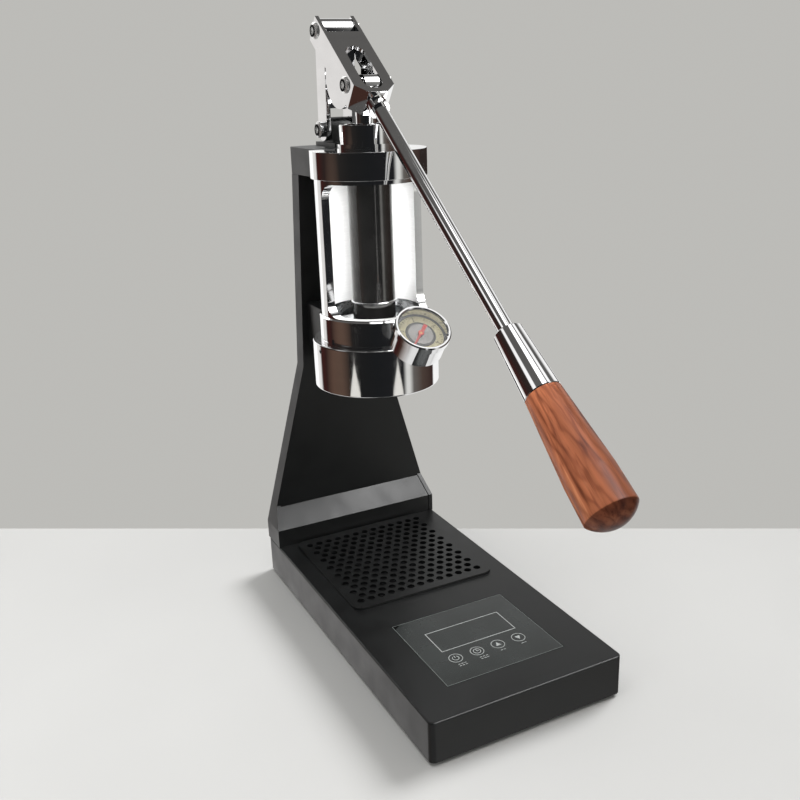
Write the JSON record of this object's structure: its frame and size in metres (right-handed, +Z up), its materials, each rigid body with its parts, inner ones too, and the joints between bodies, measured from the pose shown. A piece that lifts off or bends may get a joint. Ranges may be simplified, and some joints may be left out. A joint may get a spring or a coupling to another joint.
{
  "type": "manual lever espresso maker",
  "caption": "Lever espresso maker: black column on a base with drip grid and touch panel, chrome brew group with pressure gauge, wood-handled lever driving the plunger.",
  "frame": {"origin": "on the table under the middle of the overall footprint, handle included", "axes": "+Z up, +Y from the handle towards the column, +X to the right seen from the front"},
  "size_m": [0.15, 0.3766, 0.4566],
  "materials": {
    "black_steel": "satin black powder coat",
    "chrome": "polished",
    "steel": "machined",
    "wood": "oiled, figured reddish brown",
    "rubber": "matt black",
    "gasket_rubber": "matt silicone",
    "brass": "plain",
    "panel": "gloss dark grey with white print",
    "display": "gloss dark",
    "board": "green circuit board",
    "black_plastic": "moulded",
    "lens": "clear",
    "dial": "matt cream with dark middle",
    "needle": "matt red"
  },
  "bodies": {
    "frame": {"base_housing": "black_steel", "base_bottom_plate": "steel", "bottom_screws": "steel", "rubber_feet": "rubber", "control_panel": "panel", "display_module": "display", "control_board": "board", "board_standoffs": "brass", "board_screws": "steel", "power_module": "black_plastic", "power_inlet": "black_plastic", "column_shell": "black_steel", "column_rear_cover": "black_steel", "rear_cover_screws": "steel", "column_screws": "steel", "top_arm": "black_steel", "arm_bolts": "steel", "arm_screws": "steel", "group_bracket": "black_steel", "group_bolts": "steel", "upper_block": "chrome", "cage_tube": "chrome", "group_collar": "chrome", "chamber_sleeve": "steel", "shower_screen": "steel", "group_gasket": "gasket_rubber", "lock_ring": "chrome", "ring_set_screws": "steel", "heater_band": "brass", "temperature_probe": "steel", "heater_lead": "rubber", "guide_bush": "chrome", "pivot_bracket": "black_steel", "bracket_screws": "steel", "pivot_pin": "chrome", "pivot_washers": "steel", "gauge_adapter": "chrome", "gauge_case": "chrome", "gauge_bezel": "chrome", "gauge_lens": "lens", "gauge_dial": "dial", "gauge_movement": "brass"},
    "link": {"rear_link": "chrome"},
    "lever": {"lever_head": "chrome", "lever_rod": "chrome", "lever_ferrule": "chrome", "lever_handle": "wood", "link_pin": "chrome", "yoke_pin": "chrome", "pin_nuts": "chrome"},
    "plunger": {"plunger_rod": "chrome", "plunger_yoke": "chrome", "piston": "steel", "piston_seals": "rubber", "piston_bolt": "steel"},
    "needle": {"gauge_needle": "needle"},
    "tray": {"drip_tray": "steel"},
    "grid": {"drip_grid": "black_steel"}
  },
  "joints": [
    {"name": "lever_pivot", "type": "hinge", "parent": "link", "child": "lever", "pos_m": [0, 0.16066, 0.44643], "axis": [-1, 0, 0], "range_deg": [0, 48.54]},
    {"name": "link_swing", "type": "hinge", "parent": "frame", "child": "link", "pos_m": [0, 0.16389, 0.3755], "axis": [-1, 0, 0], "range_deg": [0, 11.47]},
    {"name": "plunger_slide", "type": "slide", "parent": "frame", "child": "plunger", "axis": [0, 0, 1], "range_m": [0, 0.0622]},
    {"name": "needle_turn", "type": "hinge", "parent": "frame", "child": "needle", "pos_m": [0, 0.02999, 0.2452], "axis": [0, -0.5878, 0.809], "range_deg": [-270, 0], "stiffness_Nm_per_rad": 0.001},
    {"name": "tray_lift", "type": "slide", "parent": "frame", "child": "tray", "axis": [0, 0, 1], "range_m": [0, 0.06]},
    {"name": "grid_lift", "type": "slide", "parent": "tray", "child": "grid", "axis": [0, 0, 1], "range_m": [0, 0.04]}
  ],
  "couplings": [
    {"joint": "link_swing", "follows": "lever_pivot", "ratio": 0.23609},
    {"joint": "plunger_slide", "follows": "lever_pivot", "m_per_rad": 0.07299}
  ]
}
